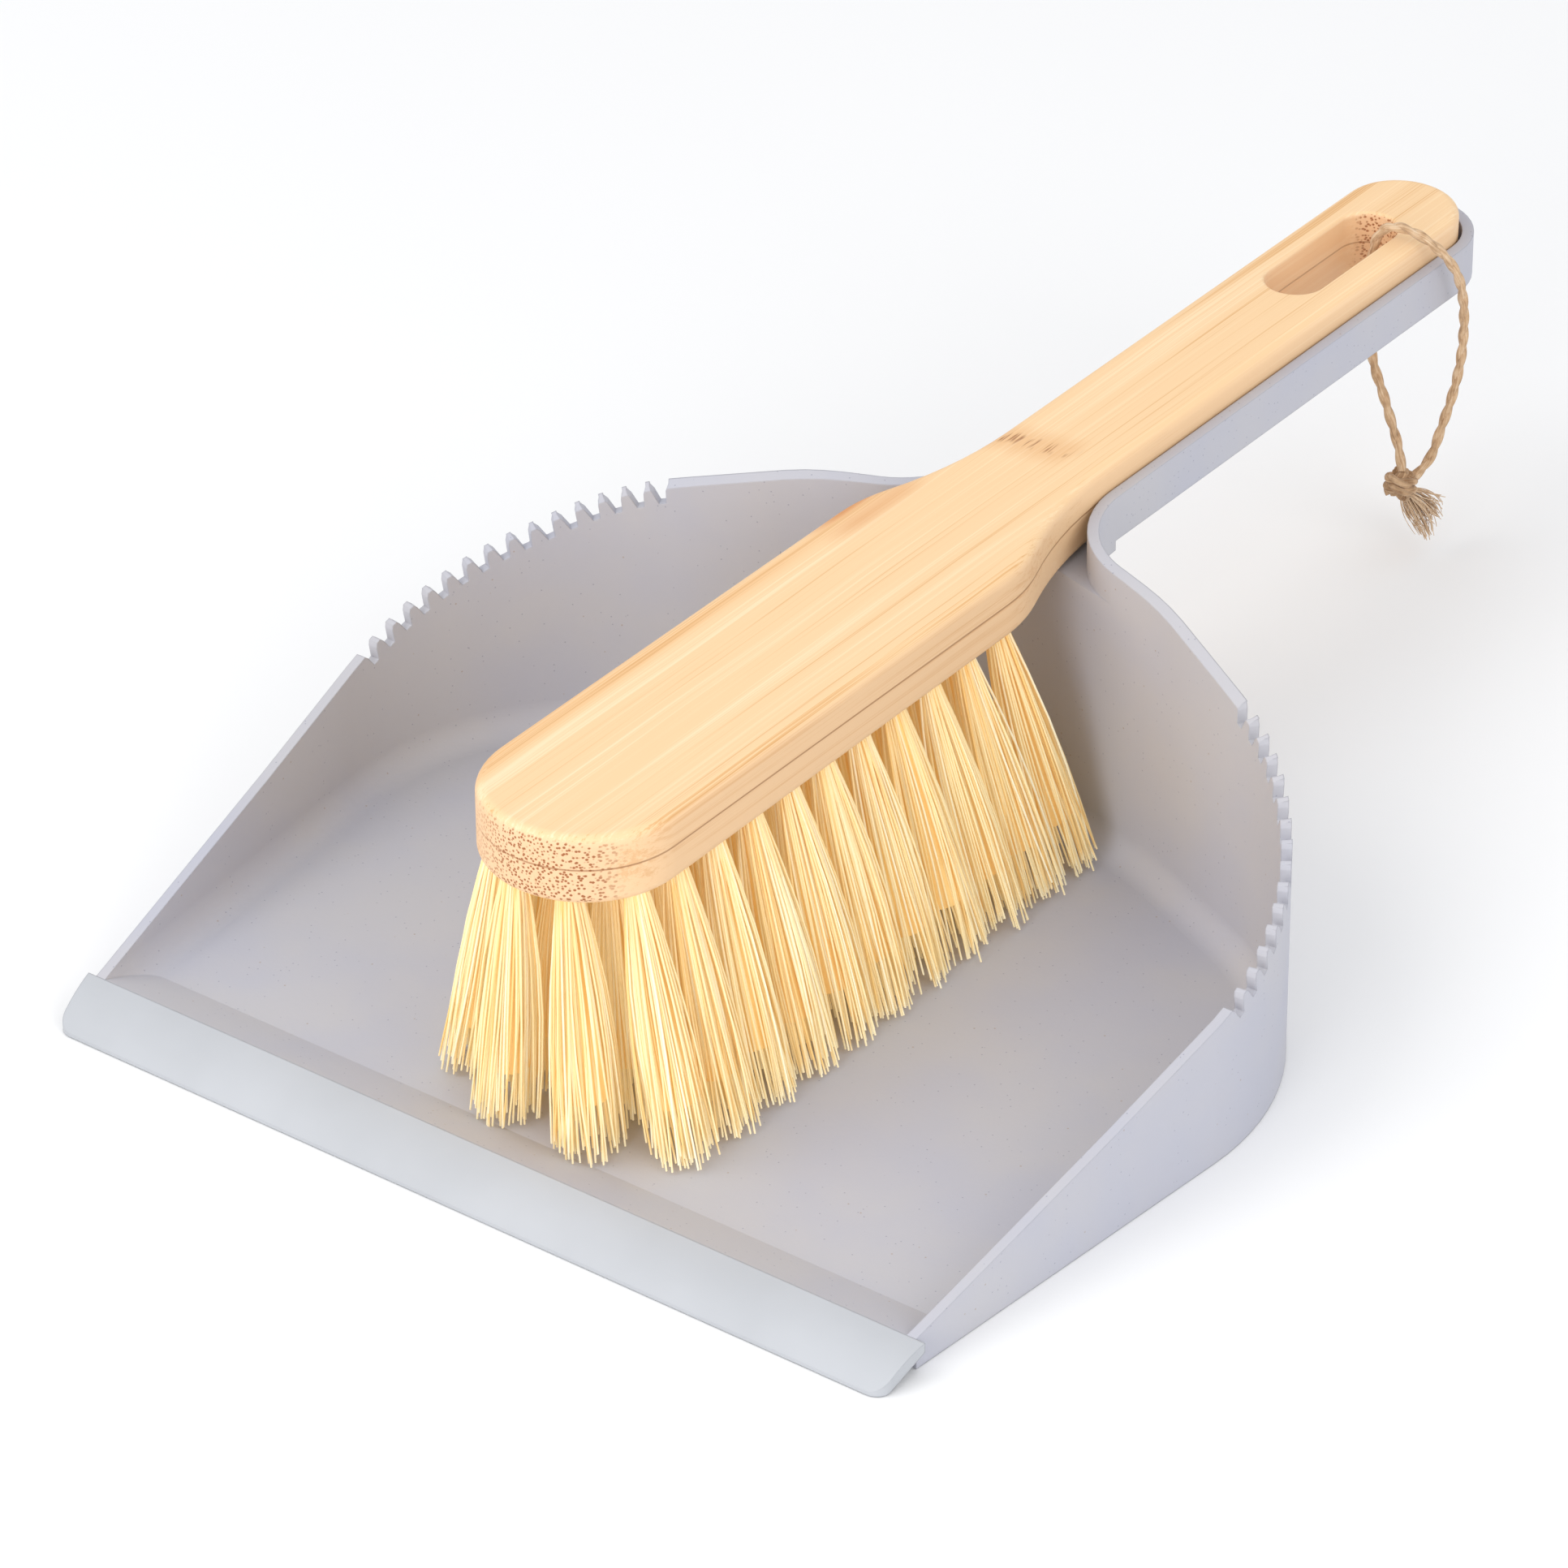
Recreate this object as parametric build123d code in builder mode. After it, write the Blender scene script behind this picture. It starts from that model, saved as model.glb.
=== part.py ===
"""Dustpan with a bamboo hand brush clipped into its loop handle.

Millimetres. +Z is up, +X is to the right, the pan's lip faces -Y and the handle runs towards +Y.
The origin is on the floor under the middle of the pan and its handle.
"""

import os
from math import atan2, cos, degrees, hypot, pi, radians, sin, tan

from build123d import *

# ---- driving dimensions -------------------------------------------------------------------
LENGTH = 368.4  # lip edge to the outside of the handle loop

# dustpan moulding
WALL = 2.4
FLOOR = 2.5
FLOOR_FILLET = 6.0
PAN_FRONT_WIDTH = 219.0  # outside, where the walls start behind the lip
WALL_FLARE = 0.0847  # how far each side wall runs outwards for each millimetre towards the rear
CORNER_RADIUS = 68.0  # where a side wall turns into the rear wall
REAR_SLOPE = 0.445  # how far the rear wall runs back for each millimetre inwards, beside the corner
REAR_INNER_SLOPE = 0.28  # and nearer the middle
REAR_KNEE_X = 48.0  # where one slope turns into the other
REAR_KNEE_AT = 188.3
REAR_KNEE_RADIUS = 100.0
REAR_MIDDLE_RADIUS = 50.0
NECK_RADIUS = 21.0  # outside hollow between the rear wall and the handle loop
NECK_LEDGE = 2.4

# lip and the ramp behind it
LIP_DEPTH = 13.0
LIP_HEIGHT = 7.5
LIP_FRONT_REACH = 0.3  # lip past the walls' front width, each side, at its front edge
LIP_REAR_REACH = 2.2  # and at its seam
LIP_NOSE = 0.9  # thickness of the lip's front edge
LIP_CROWN = 1.0  # how far the lip's top bulges above a straight ramp
LIP_CORNER_RADIUS = 4.0
RAMP_DEPTH = 13.5  # from the crest down to the floor
SKIN = 2.3  # upright thickness of the ramp and of the lip
TONGUE_REACH = 6.5
TONGUE = 1.2

# rim heights, as distance from the lip edge and height above the floor
RIM_RISE = [(75.0, 24.7), (112.0, 35.8), (157.0, 55.0), (175.5, 65.9), (191.0, 73.9)]
RIM_ROUND = 60.0

# comb
TEETH = 14
TOOTH_HEIGHT = 4.2
GAP_BOTTOM = 1.7
GAP_TOP = 3.2  # below the teeth's bevelled tips
GAP_MOUTH = 4.5  # at the rim
TIP_BEVEL = 1.1
COMB_FROM = -0.9  # degrees round the corner arc
COMB_TO = 66.0

# handle loop of the dustpan
LOOP_WIDTH = 34.2  # outside
LOOP_WALL = 2.7
LOOP_TOP = 76.0
LOOP_HEIGHT = 11.0

# brush, two boards glued into one
HEAD_WIDTH = 46.0
HEAD_FRONT = 24.0  # distance of the head's round end from the lip edge
SHOULDER_FROM = 171.3  # the head narrows from here
SHOULDER_TO = 195.5  # to the grip here
GRIP_CLEARANCE = 0.5  # wood to handle loop, each side
END_CLEARANCE = 1.2  # wood to handle loop, at the far end
LOWER_BOARD = 8.7
UPPER_BOARD = 7.7
TOP_ROUND = 2.5
BOTTOM_ROUND = 2.0
SLOT_WIDTH = 14.0
SLOT_LENGTH = 43.5
SLOT_END_MARGIN = 20.1  # slot's far end to the wood's far end
SLOT_ROUND = 1.0

# bristle tufts and the wire anchors that hold them
HOLE_DIAMETER = 4.6
HOLE_DEPTH = 7.2
TUFT_CLEARANCE = 0.05
BRISTLE_LENGTH = 63.0  # from the wood to the tips
TIP_GAP = 0.6  # bristle tips above the pan's floor
RANKS = 11
FIRST_RANK_SETBACK = 16.5  # from the head's round end
LAST_RANK_MARGIN = 4.8  # to where the head starts to narrow
FRONT_PAIR_SETBACK = 7.5
FRONT_PAIR_X = 7.0
INNER_ROW_X = 5.9
TUFT_MARGIN = 5.5  # outer row to the head's side
SPREAD_OUT = 1.62  # tips stand this much further out than their roots
SPREAD_BACK = 0.09  # backward lean of a tuft, as a share of its distance from the front pair
ANCHOR_LENGTH = 6.6
ANCHOR_WIDTH = 0.5
ANCHOR_HEIGHT = 1.6
ANCHOR_COVER = 0.5

# jute cord
CORD_DIAMETER = 2.5
KNOT_RADIUS = 4.3
KNOT_AT = (15.5, 147.3, 22.3)
TAIL_RADII = (1.3, 2.3)
OUTER_LEG = [
    (2.6, 151.4, 73.0),
    (2.6, 151.4, 79.4),
    (5.4, 151.8, 85.2),
    (11.6, 151.5, 87.0),
    (18.0, 153.0, 84.4),
    (22.0, 157.2, 77.2),
    (22.2, 160.5, 68.6),
    (21.9, 162.0, 59.0),
    (21.4, 161.8, 49.6),
    (20.5, 160.2, 41.0),
    (19.5, 157.6, 33.8),
    (19.4, 153.4, 26.2),
    (17.0, 149.8, 23.0),
]
INNER_LEG = [
    (2.6, 151.4, 73.0),
    (2.6, 151.4, 66.4),
    (3.4, 150.2, 58.4),
    (5.5, 148.9, 50.6),
    (9.2, 148.4, 43.4),
    (11.9, 148.3, 36.4),
    (14.3, 148.0, 31.0),
    (15.8, 147.2, 26.0),
]
TAIL_TIPS = [(17.6, 155.8, 3.9), (16.8, 160.9, 7.0)]

# ---- sizes that follow ---------------------------------------------------------------------
LOOP_OUTER = LOOP_WIDTH / 2
LOOP_INNER = LOOP_OUTER - LOOP_WALL
LOOP_BOTTOM = LOOP_TOP - LOOP_HEIGHT
GRIP_HALF = LOOP_INNER - GRIP_CLEARANCE
HEAD_HALF = HEAD_WIDTH / 2
WOOD_END = LENGTH - LOOP_WALL - END_CLEARANCE
BOARD_BOTTOM = FLOOR + TIP_GAP + BRISTLE_LENGTH
SEAM = BOARD_BOTTOM + LOWER_BOARD
BOARD_TOP = SEAM + UPPER_BOARD
TALL = max(BOARD_TOP, LOOP_TOP) + 20
LIP_FRONT_WIDTH = PAN_FRONT_WIDTH + 2 * LIP_FRONT_REACH
LIP_REAR_WIDTH = PAN_FRONT_WIDTH + 2 * LIP_REAR_REACH
FIRST_RANK = HEAD_FRONT + FIRST_RANK_SETBACK
RANK_PITCH = (SHOULDER_FROM - LAST_RANK_MARGIN - FIRST_RANK) / (RANKS - 1)
FRONT_PAIR_AT = HEAD_FRONT + FRONT_PAIR_SETBACK
TIP_DIAMETER = RANK_PITCH


def along(distance):
    """Y of a place that far behind the lip's front edge."""
    return distance - LENGTH / 2


def mirrored_path(right_side):
    """The right-hand points, front to back, then their mirror images back to front."""
    left_side = [(-x, y) for x, y in reversed(right_side) if x > 0]
    return right_side + left_side


# ---- pan outline -----------------------------------------------------------------------------
FRONT_HALF = PAN_FRONT_WIDTH / 2
FRONT_RUN_OUT = 10.0


def pan_points(inset):
    """Front end of the side wall, rear corner, knee and middle of the rear wall, all as sharp corners.

    They belong to a wall face set in that far from the outside.
    """
    side_half = FRONT_HALF - inset * hypot(WALL_FLARE, 1)
    side_middle = side_half - WALL_FLARE * LIP_DEPTH
    outer_middle = REAR_KNEE_AT + REAR_SLOPE * REAR_KNEE_X - inset * hypot(REAR_SLOPE, 1)
    rear_middle = REAR_KNEE_AT + REAR_INNER_SLOPE * REAR_KNEE_X - inset * hypot(REAR_INNER_SLOPE, 1)
    corner_at = (outer_middle - REAR_SLOPE * side_middle) / (1 + REAR_SLOPE * WALL_FLARE)
    corner_half = side_middle + WALL_FLARE * corner_at
    knee_x = (outer_middle - rear_middle) / (REAR_SLOPE - REAR_INNER_SLOPE)
    knee_at = rear_middle - REAR_INNER_SLOPE * knee_x
    front = (side_half - WALL_FLARE * FRONT_RUN_OUT, along(LIP_DEPTH - FRONT_RUN_OUT))
    return front, (corner_half, along(corner_at)), (knee_x, along(knee_at)), (0, along(rear_middle))


def pan_plan(inset):
    """Plan of the closed pan, running a little past the lip's seam at the front."""
    half_radii = [CORNER_RADIUS - inset, REAR_KNEE_RADIUS - inset]
    with BuildSketch() as plan:
        with BuildLine():
            sides = FilletPolyline(
                *mirrored_path(list(pan_points(inset))),
                radius=[*half_radii, REAR_MIDDLE_RADIUS - inset, *half_radii[::-1]],
            )
            Line(sides @ 1, sides @ 0)
        make_face()
    return plan.sketch


def loop_plan(inset, half_width, far_end):
    """Plan of the pan joined to the round-ended loop handle."""
    front, corner, knee, rear_middle = pan_points(inset)
    neck = (half_width, rear_middle[1] - REAR_INNER_SLOPE * half_width)
    half_radii = [
        CORNER_RADIUS - inset,
        REAR_KNEE_RADIUS - inset,
        NECK_RADIUS + inset,
        0.99 * half_width,
    ]
    with BuildSketch() as plan:
        with BuildLine():
            sides = FilletPolyline(
                *mirrored_path([front, corner, knee, neck, (half_width, along(far_end))]),
                radius=half_radii + half_radii[::-1],
            )
            Line(sides @ 1, sides @ 0)
        make_face()
    return plan.sketch


CORNER_HALF, CORNER_Y = pan_points(0)[1]
NECK_CORNER_Y = pan_points(0)[3][1] - REAR_INNER_SLOPE * LOOP_OUTER
NECK_TURN = pi / 2 - atan2(REAR_INNER_SLOPE, 1)
NECK_END_Y = NECK_CORNER_Y + NECK_RADIUS * tan(NECK_TURN / 2)

inner_plan = pan_plan(WALL)
inner_loop = loop_plan(WALL, LOOP_INNER, LENGTH - LOOP_WALL)

with BuildSketch() as outer_plan:
    add(pan_plan(0))
    with Locations((0, along(LIP_DEPTH))):
        Rectangle(LIP_REAR_WIDTH * 2, LIP_DEPTH * 2, align=(Align.CENTER, Align.MAX), mode=Mode.SUBTRACT)

with BuildSketch() as outer_loop:
    add(loop_plan(0, LOOP_OUTER, LENGTH))
    with Locations((0, along(LIP_DEPTH))):
        Rectangle(LIP_REAR_WIDTH * 2, LIP_DEPTH * 2, align=(Align.CENTER, Align.MAX), mode=Mode.SUBTRACT)

with BuildSketch() as ledge_plan:
    add(outer_loop.sketch)
    with Locations((0, CORNER_Y)):
        Rectangle(
            LOOP_WIDTH + 2 * NECK_RADIUS,
            NECK_END_Y - CORNER_Y,
            align=(Align.CENTER, Align.MIN),
            mode=Mode.INTERSECT,
        )

# ---- rim of the pan ---------------------------------------------------------------------------
RIM = [
    (along(LIP_DEPTH), LIP_HEIGHT),
    *[(along(distance), height) for distance, height in RIM_RISE],
    (NECK_END_Y, LOOP_TOP),
]


def rim_height(y):
    """Height of the rim above the floor at a given Y."""
    for (near, low), (far, high) in zip(RIM, RIM[1:]):
        if y <= far:
            return low + (high - low) * (y - near) / (far - near)
    return LOOP_TOP


with BuildPart() as above_rim:
    with BuildSketch(Plane.YZ):
        with BuildLine():
            rim_line = FilletPolyline(
                (along(-LIP_DEPTH), LIP_HEIGHT),
                *RIM,
                (along(LENGTH + LIP_DEPTH), LOOP_TOP),
                radius=[2.0, *[RIM_ROUND] * (len(RIM_RISE) - 1), RIM_ROUND / 2, RIM_ROUND],
            )
            Polyline(
                rim_line @ 1,
                (along(LENGTH + LIP_DEPTH), TALL),
                (along(-LIP_DEPTH), TALL),
                rim_line @ 0,
            )
        make_face()
    extrude(amount=2 * CORNER_HALF, both=True)

with BuildPart() as pan_hollow:
    with BuildSketch(Plane.XY.offset(FLOOR)):
        add(inner_plan)
    extrude(amount=TALL)
    fillet(pan_hollow.faces().sort_by(Axis.Z)[0].edges(), FLOOR_FILLET)

# ---- comb gaps ----------------------------------------------------------------------------------
corner_turn = pi / 2 + atan2(WALL_FLARE, 1) - atan2(REAR_SLOPE, 1)
corner_reach = CORNER_RADIUS * tan(corner_turn / 2)
flare_length = hypot(WALL_FLARE, 1)
ARC_CENTRE_X = CORNER_HALF - (corner_reach * WALL_FLARE + CORNER_RADIUS) / flare_length
ARC_CENTRE_Y = CORNER_Y - (corner_reach - CORNER_RADIUS * WALL_FLARE) / flare_length

with BuildPart() as comb_gaps:
    for gap in range(TEETH + 1):
        angle = COMB_FROM + (COMB_TO - COMB_FROM) * (gap + 0.5) / (TEETH + 1)
        radius = CORNER_RADIUS - WALL / 2
        x = ARC_CENTRE_X + radius * cos(radians(angle))
        y = ARC_CENTRE_Y + radius * sin(radians(angle))
        for side in (1, -1):
            outward = Vector(side * cos(radians(angle)), sin(radians(angle)), 0)
            rise = side * cos(radians(angle)) * (rim_height(y + 1) - rim_height(y - 1)) / 2
            along_rim = Vector(0, 0, 1).cross(outward) + Vector(0, 0, rise)
            with BuildSketch(Plane((side * x, y, rim_height(y)), x_dir=along_rim, z_dir=outward)):
                with BuildLine():
                    Polyline(
                        (-GAP_BOTTOM / 2, -TOOTH_HEIGHT),
                        (GAP_BOTTOM / 2, -TOOTH_HEIGHT),
                        (GAP_TOP / 2, -TIP_BEVEL),
                        (GAP_MOUTH / 2, 0),
                        (GAP_MOUTH / 2, TOOTH_HEIGHT),
                        (-GAP_MOUTH / 2, TOOTH_HEIGHT),
                        (-GAP_MOUTH / 2, 0),
                        (-GAP_TOP / 2, -TIP_BEVEL),
                        close=True,
                    )
                make_face()
            extrude(amount=WALL, both=True)

# ---- dustpan ----------------------------------------------------------------------------------------
RAMP_HALF = FRONT_HALF - WALL / 2
CREST_Y = along(LIP_DEPTH)
RAMP_FOOT_Y = along(LIP_DEPTH + RAMP_DEPTH)
TONGUE_FALL = TONGUE_REACH * LIP_HEIGHT / (LIP_DEPTH * 1.15)
TONGUE_TOP = LIP_HEIGHT - 0.6

with BuildPart() as dustpan:
    with BuildSketch(Plane.XY):
        add(outer_plan.sketch)
    extrude(amount=LOOP_BOTTOM)
    with BuildSketch(Plane.XY.offset(LOOP_BOTTOM - NECK_LEDGE)):
        add(ledge_plan.sketch)
    extrude(amount=NECK_LEDGE)
    with BuildSketch(Plane.XY.offset(LOOP_BOTTOM)):
        add(outer_loop.sketch)
    extrude(amount=LOOP_HEIGHT)
    add(pan_hollow.part, mode=Mode.SUBTRACT)
    with BuildSketch(Plane.XY.offset(LOOP_BOTTOM)):
        add(inner_loop)
    extrude(amount=TALL, mode=Mode.SUBTRACT)
    # ramp behind the lip, hollow underneath
    with BuildSketch(Plane.YZ):
        with BuildLine():
            Polyline(
                (CREST_Y, 0), (CREST_Y, LIP_HEIGHT), (RAMP_FOOT_Y, FLOOR), (RAMP_FOOT_Y, 0), close=True
            )
        make_face()
    extrude(amount=RAMP_HALF, both=True)
    with BuildSketch(Plane.YZ):
        with BuildLine():
            Polyline(
                (CREST_Y, 0), (CREST_Y, LIP_HEIGHT - SKIN), (RAMP_FOOT_Y, FLOOR - SKIN), (RAMP_FOOT_Y, 0),
                close=True,
            )
        make_face()
    extrude(amount=FRONT_HALF - WALL, both=True, mode=Mode.SUBTRACT)
    # tongue that the lip is moulded onto
    with BuildSketch(Plane.YZ):
        with BuildLine():
            Polyline(
                (CREST_Y, TONGUE_TOP),
                (CREST_Y - TONGUE_REACH, TONGUE_TOP - TONGUE_FALL),
                (CREST_Y - TONGUE_REACH, TONGUE_TOP - TONGUE_FALL - TONGUE),
                (CREST_Y, TONGUE_TOP - TONGUE),
                close=True,
            )
        make_face()
    extrude(amount=FRONT_HALF - WALL, both=True)
    add(above_rim.part, mode=Mode.SUBTRACT)
    add(comb_gaps.part, mode=Mode.SUBTRACT)
dustpan.part.label = "dustpan"

# ---- soft lip ---------------------------------------------------------------------------------------
LIP_EDGE_Y = along(0)
with BuildPart() as soft_lip:
    with BuildSketch(Plane.YZ):
        with BuildLine():
            ThreePointArc(
                (LIP_EDGE_Y, LIP_NOSE),
                (LIP_EDGE_Y + LIP_DEPTH / 2, (LIP_NOSE + LIP_HEIGHT) / 2 + LIP_CROWN),
                (CREST_Y, LIP_HEIGHT),
            )
            Polyline(
                (CREST_Y, LIP_HEIGHT),
                (CREST_Y, LIP_HEIGHT - SKIN),
                (LIP_EDGE_Y + SKIN, 0),
                (LIP_EDGE_Y, 0),
                (LIP_EDGE_Y, LIP_NOSE),
            )
        make_face()
    extrude(amount=LIP_REAR_WIDTH, both=True)
    with BuildSketch(Plane.XY):
        with BuildLine():
            FilletPolyline(
                (LIP_REAR_WIDTH / 2, CREST_Y),
                (LIP_FRONT_WIDTH / 2, LIP_EDGE_Y),
                (-LIP_FRONT_WIDTH / 2, LIP_EDGE_Y),
                (-LIP_REAR_WIDTH / 2, CREST_Y),
                radius=LIP_CORNER_RADIUS,
            )
            Line((-LIP_REAR_WIDTH / 2, CREST_Y), (LIP_REAR_WIDTH / 2, CREST_Y))
        make_face()
    extrude(amount=TALL, mode=Mode.INTERSECT)
    add(dustpan.part, mode=Mode.SUBTRACT)
soft_lip.part.label = "soft_lip"

# ---- brush boards ------------------------------------------------------------------------------------
shoulder_in = HEAD_HALF - GRIP_HALF
shoulder_run = SHOULDER_TO - SHOULDER_FROM
shoulder_turn = atan2(shoulder_in, shoulder_run)
shoulder_reach = hypot(shoulder_in, shoulder_run) / tan(shoulder_turn / 2)
board_radii = [0.99 * HEAD_HALF, 0.28 * shoulder_reach, 0.71 * shoulder_reach, 0.99 * GRIP_HALF]

with BuildSketch() as board_plan:
    with BuildLine():
        FilletPolyline(
            *mirrored_path(
                [
                    (HEAD_HALF, along(HEAD_FRONT)),
                    (HEAD_HALF, along(SHOULDER_FROM)),
                    (GRIP_HALF, along(SHOULDER_TO)),
                    (GRIP_HALF, along(WOOD_END)),
                ]
            ),
            radius=board_radii + board_radii[::-1],
            close=True,
        )
    make_face()

with BuildSketch() as slot_plan:
    with Locations((0, along(WOOD_END - SLOT_END_MARGIN - SLOT_LENGTH / 2))):
        SlotOverall(SLOT_LENGTH, SLOT_WIDTH, rotation=90)


def board(bottom, thickness, round_top, outer_round):
    """One bamboo board with the hanging slot, its outer edges rounded on the side that shows."""
    with BuildPart() as made:
        with BuildSketch(Plane.XY.offset(bottom)):
            add(board_plan.sketch)
        extrude(amount=thickness)
        shown = made.faces().sort_by(Axis.Z)[-1 if round_top else 0]
        fillet(shown.edges(), outer_round)
        with BuildSketch(Plane.XY.offset(bottom)):
            add(slot_plan.sketch)
        extrude(amount=thickness, mode=Mode.SUBTRACT)
        shown = made.faces().sort_by(Axis.Z)[-1 if round_top else 0]
        slot_edges = shown.inner_wires()[0].edges()
        fillet(slot_edges, SLOT_ROUND)
    return made


upper_board = board(SEAM, UPPER_BOARD, True, TOP_ROUND)
upper_board.part.label = "upper_board"

# ---- tufts, rank by rank ------------------------------------------------------------------------------
OUTER_ROW_X = HEAD_HALF - TUFT_MARGIN


def rank_roots(rank):
    """Hole centres of one rank: the pair at the sides, then the staggered pair inside it."""
    side_at = FIRST_RANK + rank * RANK_PITCH
    inner_at = side_at + RANK_PITCH / 2
    roots = [(OUTER_ROW_X, side_at), (-OUTER_ROW_X, side_at)]
    if rank < RANKS - 1:
        roots += [(INNER_ROW_X, inner_at), (-INNER_ROW_X, inner_at)]
    return roots


ranks = [[(FRONT_PAIR_X, FRONT_PAIR_AT), (-FRONT_PAIR_X, FRONT_PAIR_AT)]]
ranks += [rank_roots(rank) for rank in range(RANKS)]
all_roots = [(x, along(distance)) for roots in ranks for x, distance in roots]
ANCHOR_Z = BOARD_BOTTOM + HOLE_DEPTH - ANCHOR_COVER - ANCHOR_HEIGHT / 2

with BuildPart() as tuft_anchors:
    with Locations(*[(x, y, ANCHOR_Z) for x, y in all_roots]):
        Box(ANCHOR_LENGTH, ANCHOR_WIDTH, ANCHOR_HEIGHT)
tuft_anchors.part.label = "tuft_anchors"

lower_blank = board(BOARD_BOTTOM, LOWER_BOARD, False, BOTTOM_ROUND)
with BuildPart() as lower_board:
    add(lower_blank.part)
    with BuildSketch(Plane.XY.offset(BOARD_BOTTOM)):
        with Locations(*all_roots):
            Circle(HOLE_DIAMETER / 2)
    extrude(amount=HOLE_DEPTH, mode=Mode.SUBTRACT)
    add(tuft_anchors.part, mode=Mode.SUBTRACT)
lower_board.part.label = "lower_board"

os.makedirs("parts", exist_ok=True)

for number, roots in enumerate(ranks):
    with BuildPart() as tufts:
        for x, distance in roots:
            lean = SPREAD_BACK * (distance - FRONT_PAIR_AT)
            with BuildSketch(Plane.XY.offset(BOARD_BOTTOM)):
                with Locations((x, along(distance))):
                    Circle(HOLE_DIAMETER / 2 - TUFT_CLEARANCE)
            extrude(amount=HOLE_DEPTH)
            with BuildSketch(Plane.XY.offset(BOARD_BOTTOM)):
                with Locations((x, along(distance))):
                    Circle(HOLE_DIAMETER / 2 - TUFT_CLEARANCE)
            with BuildSketch(Plane.XY.offset(FLOOR + TIP_GAP)):
                with Locations((x * SPREAD_OUT, along(distance + lean))):
                    Circle(TIP_DIAMETER / 2)
            loft()
        add(tuft_anchors.part, mode=Mode.SUBTRACT)
    name = "front_tufts" if number == 0 else f"tuft_rank_{number:02d}"
    tufts.part.label = name
    export_step(tufts.part, f"parts/{name}.step")

# ---- cord ------------------------------------------------------------------------------------------------


def cord_radii(points):
    """The largest arc that each corner's two runs allow."""
    radii = []
    for before, here, after in zip(points, points[1:], points[2:]):
        run_in = Vector(here) - Vector(before)
        run_out = Vector(after) - Vector(here)
        turn = radians(run_in.get_angle(run_out))
        radii.append(0.45 * min(run_in.length, run_out.length) / tan(turn / 2))
    return radii


def cord_leg(points):
    """A round tube along the route."""
    radii = cord_radii(points)
    with BuildPart() as leg:
        with BuildLine():
            route = FilletPolyline(*points, radius=radii)
        with BuildSketch(Plane(origin=route @ 0, z_dir=route % 0)):
            Circle(CORD_DIAMETER / 2)
        sweep()
    section = pi * CORD_DIAMETER**2 / 4
    print(f"cord run {route.length:.1f} mm, volume {leg.part.volume:.1f},")
    print(f"  section x length {section * route.length:.1f}, radii {[round(r, 1) for r in radii]}")
    return leg


outer_leg = cord_leg(OUTER_LEG)
outer_leg.part.label = "cord_outer_leg"
inner_leg = cord_leg(INNER_LEG)
inner_leg.part.label = "cord_inner_leg"

with BuildPart() as cord_knot:
    with Locations(KNOT_AT):
        Sphere(KNOT_RADIUS)
    add(outer_leg.part, mode=Mode.SUBTRACT)
    add(inner_leg.part, mode=Mode.SUBTRACT)
cord_knot.part.label = "cord_knot"


def tail(tip, beside):
    """One frayed end below the knot, as a cone that widens towards its tip."""
    way = Vector(tip) - Vector(KNOT_AT)
    start = Vector(KNOT_AT) + way.normalized() * KNOT_RADIUS * 0.9
    with BuildPart() as made:
        with Locations(Plane(origin=start, z_dir=way).location):
            Cone(*TAIL_RADII, (Vector(tip) - start).length, align=(Align.CENTER, Align.CENTER, Align.MIN))
        for piece in beside:
            add(piece.part, mode=Mode.SUBTRACT)
    return made


tail_a = tail(TAIL_TIPS[0], [cord_knot])
tail_b = tail(TAIL_TIPS[1], [cord_knot, tail_a])
tail_a.part.label = "cord_tail_a"
tail_b.part.label = "cord_tail_b"

# ---- files -------------------------------------------------------------------------------------
export_step(dustpan.part, "parts/dustpan.step")
export_step(soft_lip.part, "parts/soft_lip.step")
export_step(upper_board.part, "parts/upper_board.step")
export_step(lower_board.part, "parts/lower_board.step")
export_step(tuft_anchors.part, "parts/tuft_anchors.step")
export_step(outer_leg.part, "parts/cord_outer_leg.step")
export_step(inner_leg.part, "parts/cord_inner_leg.step")
export_step(cord_knot.part, "parts/cord_knot.step")
export_step(tail_a.part, "parts/cord_tail_a.step")
export_step(tail_b.part, "parts/cord_tail_b.step")
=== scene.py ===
from math import cos, pi, radians, sin, tau

import bpy
from bpy.props import FloatProperty, FloatVectorProperty, IntProperty, PointerProperty
from bpy.types import Operator, Panel, PropertyGroup
from mathutils import Matrix, Vector


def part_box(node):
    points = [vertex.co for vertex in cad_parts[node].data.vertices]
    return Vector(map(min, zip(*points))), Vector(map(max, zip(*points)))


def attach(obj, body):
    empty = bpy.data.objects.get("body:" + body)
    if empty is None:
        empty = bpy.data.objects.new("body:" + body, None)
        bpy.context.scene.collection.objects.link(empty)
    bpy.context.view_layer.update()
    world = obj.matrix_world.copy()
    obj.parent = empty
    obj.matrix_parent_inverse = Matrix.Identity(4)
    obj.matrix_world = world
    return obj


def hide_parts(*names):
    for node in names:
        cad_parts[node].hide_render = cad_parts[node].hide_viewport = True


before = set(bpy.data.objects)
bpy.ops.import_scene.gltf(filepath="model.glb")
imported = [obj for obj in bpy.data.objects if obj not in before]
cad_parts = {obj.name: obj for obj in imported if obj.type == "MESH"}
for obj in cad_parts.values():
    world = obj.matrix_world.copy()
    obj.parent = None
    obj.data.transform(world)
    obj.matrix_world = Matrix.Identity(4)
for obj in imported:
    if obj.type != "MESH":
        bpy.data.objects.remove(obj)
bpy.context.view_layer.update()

bl_info = {
    "name": "Dustpan and Brush",
    "version": (1, 0, 0),
    "blender": (4, 5, 0),
    "location": "3D View > Sidebar > Dustpan",
    "description": "Finishes, bristles and cord for a dustpan with a bamboo hand brush",
    "category": "Object",
}

MM = 0.001


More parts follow.
